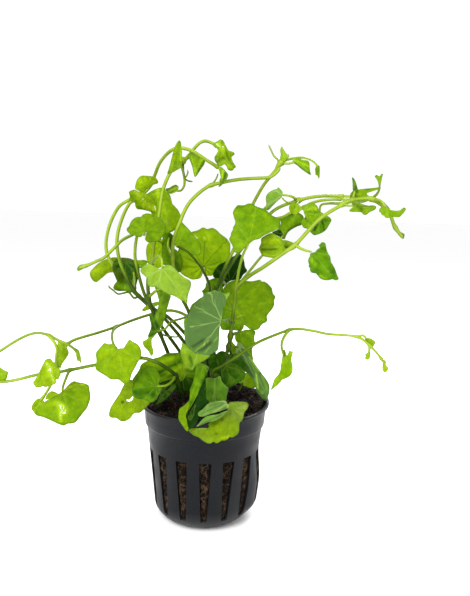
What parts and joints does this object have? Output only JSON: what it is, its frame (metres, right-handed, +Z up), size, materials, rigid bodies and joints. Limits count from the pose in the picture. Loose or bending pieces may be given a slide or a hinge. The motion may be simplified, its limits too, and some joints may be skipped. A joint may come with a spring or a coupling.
{
  "type": "potted aquatic plant",
  "caption": "Bushy cress with round leaves on long arching stems and trailing runners, growing in fibre in a slotted round net pot with a plain lip.",
  "frame": {"origin": "centre of the pot's flat underside, on the surface that the pot stands on", "axes": "+Z up the pot's axis; -Y towards the side that the picture shows; +X to that side's right"},
  "size_m": [0.164, 0.0651, 0.1591],
  "materials": {
    "pot_plastic": "near-black blue-grey moulded plastic with a low satin sheen",
    "fibre": "matt dark brown plant fibre, pressed and crumbly",
    "stem": "smooth fresh green stem, darker and redder low down",
    "leaf": "thin soft leaf, bright yellow-green, slightly glossy above, with pale veins"
  },
  "bodies": {
    "root": {"net_pot": "pot_plastic", "growing_medium": "fibre", "stem_outer_left": "stem", "stem_second_left": "stem", "stem_third_left": "stem", "stem_tall_left": "stem", "shoot_far_left": "stem", "stem_centre_arch": "stem", "stem_centre_upright": "stem", "stem_right_upper": "stem", "stem_right_middle": "stem", "stem_right_lower": "stem", "runner_right": "stem", "runner_left_upper": "stem", "runner_left_lower": "stem", "leaf_crest": "leaf", "leaf_below_crest": "leaf", "leaf_left_hanging": "leaf", "leaf_left_wide": "leaf", "leaf_left_inner": "leaf", "leaf_hooked": "leaf", "leaf_narrow_hanging": "leaf", "leaf_far_left": "leaf", "leaf_left_shaded": "leaf", "leaf_top_folded": "leaf", "leaf_top_triangle": "leaf", "leaf_top_crumpled": "leaf", "leaf_centre_sunlit": "leaf", "leaf_centre_upper": "leaf", "leaf_left_scrap": "leaf", "leaf_upper_light": "leaf", "leaf_right_broad": "leaf", "leaf_right_dark": "leaf", "leaf_right_bright": "leaf", "leaf_right_shaded": "leaf", "leaf_right_node": "leaf", "leaf_right_hanging": "leaf", "leaf_far_right": "leaf", "leaf_runner_right": "leaf", "leaf_runner_cluster": "leaf", "leaf_runner_low": "leaf", "leaf_runner_heart": "leaf", "leaf_left_low_holed": "leaf", "leaf_left_low_round": "leaf", "leaf_left_low_striped": "leaf", "leaf_front_tall": "leaf", "leaf_front_upright": "leaf", "leaf_front_cupped": "leaf", "leaf_front_rim": "leaf", "leaf_right_rim": "leaf", "leaf_right_low_dark": "leaf", "leaf_front_centre": "leaf", "leaf_front_lower": "leaf", "leaf_right_round": "leaf", "leaf_right_round_low": "leaf", "leaf_right_low": "leaf", "leaf_back_dark": "leaf", "leaf_back_small": "leaf", "leaf_back_low": "leaf", "leaf_yellow_small": "leaf"}
  },
  "joints": []
}
